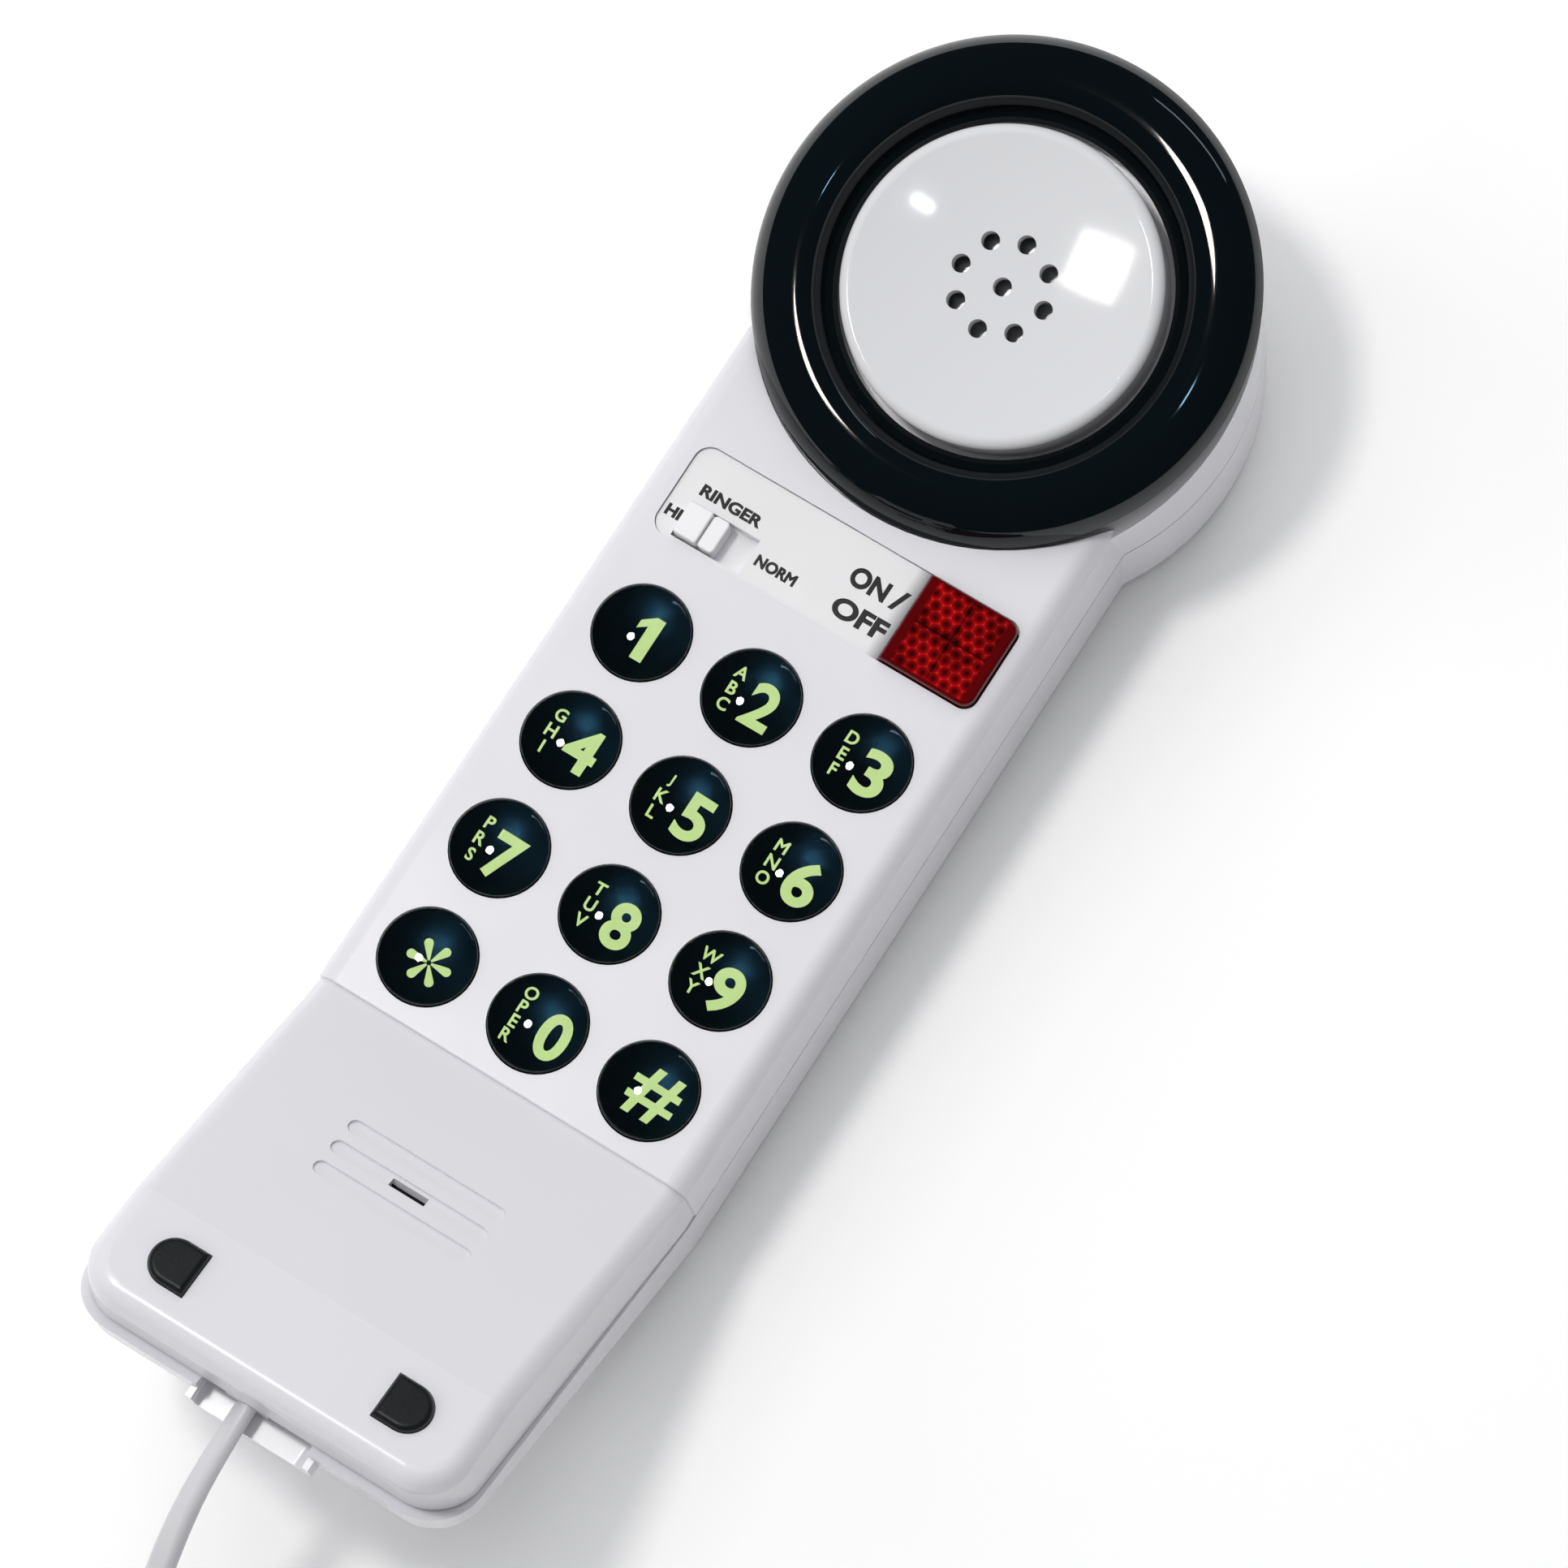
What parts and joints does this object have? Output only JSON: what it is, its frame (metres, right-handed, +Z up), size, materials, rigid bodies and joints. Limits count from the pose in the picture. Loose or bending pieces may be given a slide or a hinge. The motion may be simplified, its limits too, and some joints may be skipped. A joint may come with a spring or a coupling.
{
  "type": "one-piece telephone",
  "caption": "One-piece slimline telephone with a keypad in the handset, a round earpiece with a cushion ring, a raised mouthpiece end and a modular line cord.",
  "frame": {"origin": "under the middle of the handset, on the surface that it lies on", "axes": "+Z up out of the keypad face, +Y towards the earpiece, +X to the right of the keypad"},
  "size_m": [0.0959, 0.3355, 0.0518],
  "materials": {
    "housing_white": "moulded glossy plastic, cool white",
    "ring_black": "glossy black plastic",
    "cap_white": "glossy white plastic",
    "receiver_metal": "plain steel can",
    "foam_dark": "dark foam ring",
    "key_black": "black plastic printed with yellow-green numerals",
    "lens_clear": "clear polished plastic",
    "membrane_grey": "grey silicone",
    "board_green": "green solder mask",
    "component_black": "black moulded component",
    "transformer_steel": "laminated steel core",
    "capacitor_blue": "blue sleeve",
    "label_silver": "printed grey label",
    "knob_white": "satin white plastic",
    "button_red": "translucent red reflector plastic",
    "lamp_clear": "clear lamp body",
    "microphone_metal": "aluminium can",
    "boot_rubber": "soft moulded boot",
    "pad_rubber": "soft black rubber",
    "screw_steel": "zinc plated steel",
    "cord_grey": "flexible pale grey jacket",
    "tie_white": "white twist tie",
    "plug_clear": "clear moulded plug",
    "contact_gold": "gold plated contacts"
  },
  "bodies": {
    "handset": {"board_screw_1": "screw_steel", "board_screw_2": "screw_steel", "board_screw_3": "screw_steel", "board_screw_4": "screw_steel", "control_label_plate": "label_silver", "cord_strain_relief": "boot_rubber", "cord_tie": "tie_white", "dialler_chip": "component_black", "ear_cushion": "ring_black", "earpiece_cap": "cap_white", "front_housing": "housing_white", "housing_screw_1": "screw_steel", "housing_screw_2": "screw_steel", "housing_screw_3": "screw_steel", "housing_screw_4": "screw_steel", "indicator_lamp": "lamp_clear", "keypad_membrane": "membrane_grey", "line_capacitor": "capacitor_blue", "line_cord": "cord_grey", "line_cord_coil": "cord_grey", "line_transformer": "transformer_steel", "main_pcb": "board_green", "microphone_boot": "boot_rubber", "microphone_capsule": "microphone_metal", "modular_plug": "plug_clear", "on_off_switch": "component_black", "plug_contacts": "contact_gold", "rear_housing": "housing_white", "receiver_capsule": "receiver_metal", "receiver_gasket": "foam_dark", "rest_pad_left": "pad_rubber", "rest_pad_right": "pad_rubber", "ringer_switch_body": "component_black", "sounder": "component_black"},
    "key_1": {"key_1": "key_black", "key_lens_1": "lens_clear"},
    "key_2": {"key_2": "key_black", "key_lens_2": "lens_clear"},
    "key_3": {"key_3": "key_black", "key_lens_3": "lens_clear"},
    "key_4": {"key_4": "key_black", "key_lens_4": "lens_clear"},
    "key_5": {"key_5": "key_black", "key_lens_5": "lens_clear"},
    "key_6": {"key_6": "key_black", "key_lens_6": "lens_clear"},
    "key_7": {"key_7": "key_black", "key_lens_7": "lens_clear"},
    "key_8": {"key_8": "key_black", "key_lens_8": "lens_clear"},
    "key_9": {"key_9": "key_black", "key_lens_9": "lens_clear"},
    "key_star": {"key_star": "key_black", "key_lens_star": "lens_clear"},
    "key_0": {"key_0": "key_black", "key_lens_0": "lens_clear"},
    "key_hash": {"key_hash": "key_black", "key_lens_hash": "lens_clear"},
    "on_off_button": {"on_off_button": "button_red"},
    "ringer_switch": {"ringer_switch_knob": "knob_white"}
  },
  "joints": [
    {"name": "key_1_press", "type": "slide", "parent": "handset", "child": "key_1", "axis": [0, 0, -1], "range_m": [0, 0.0015], "stiffness_N_per_m": 500},
    {"name": "key_2_press", "type": "slide", "parent": "handset", "child": "key_2", "axis": [0, 0, -1], "range_m": [0, 0.0015], "stiffness_N_per_m": 500},
    {"name": "key_3_press", "type": "slide", "parent": "handset", "child": "key_3", "axis": [0, 0, -1], "range_m": [0, 0.0015], "stiffness_N_per_m": 500},
    {"name": "key_4_press", "type": "slide", "parent": "handset", "child": "key_4", "axis": [0, 0, -1], "range_m": [0, 0.0015], "stiffness_N_per_m": 500},
    {"name": "key_5_press", "type": "slide", "parent": "handset", "child": "key_5", "axis": [0, 0, -1], "range_m": [0, 0.0015], "stiffness_N_per_m": 500},
    {"name": "key_6_press", "type": "slide", "parent": "handset", "child": "key_6", "axis": [0, 0, -1], "range_m": [0, 0.0015], "stiffness_N_per_m": 500},
    {"name": "key_7_press", "type": "slide", "parent": "handset", "child": "key_7", "axis": [0, 0, -1], "range_m": [0, 0.0015], "stiffness_N_per_m": 500},
    {"name": "key_8_press", "type": "slide", "parent": "handset", "child": "key_8", "axis": [0, 0, -1], "range_m": [0, 0.0015], "stiffness_N_per_m": 500},
    {"name": "key_9_press", "type": "slide", "parent": "handset", "child": "key_9", "axis": [0, 0, -1], "range_m": [0, 0.0015], "stiffness_N_per_m": 500},
    {"name": "key_star_press", "type": "slide", "parent": "handset", "child": "key_star", "axis": [0, 0, -1], "range_m": [0, 0.0015], "stiffness_N_per_m": 500},
    {"name": "key_0_press", "type": "slide", "parent": "handset", "child": "key_0", "axis": [0, 0, -1], "range_m": [0, 0.0015], "stiffness_N_per_m": 500},
    {"name": "key_hash_press", "type": "slide", "parent": "handset", "child": "key_hash", "axis": [0, 0, -1], "range_m": [0, 0.0015], "stiffness_N_per_m": 500},
    {"name": "on_off_press", "type": "slide", "parent": "handset", "child": "on_off_button", "axis": [0, 0, -1], "range_m": [0, 0.0012], "stiffness_N_per_m": 600},
    {"name": "ringer_slide", "type": "slide", "parent": "handset", "child": "ringer_switch", "axis": [1, 0, 0], "range_m": [0, 0.0044]}
  ]
}
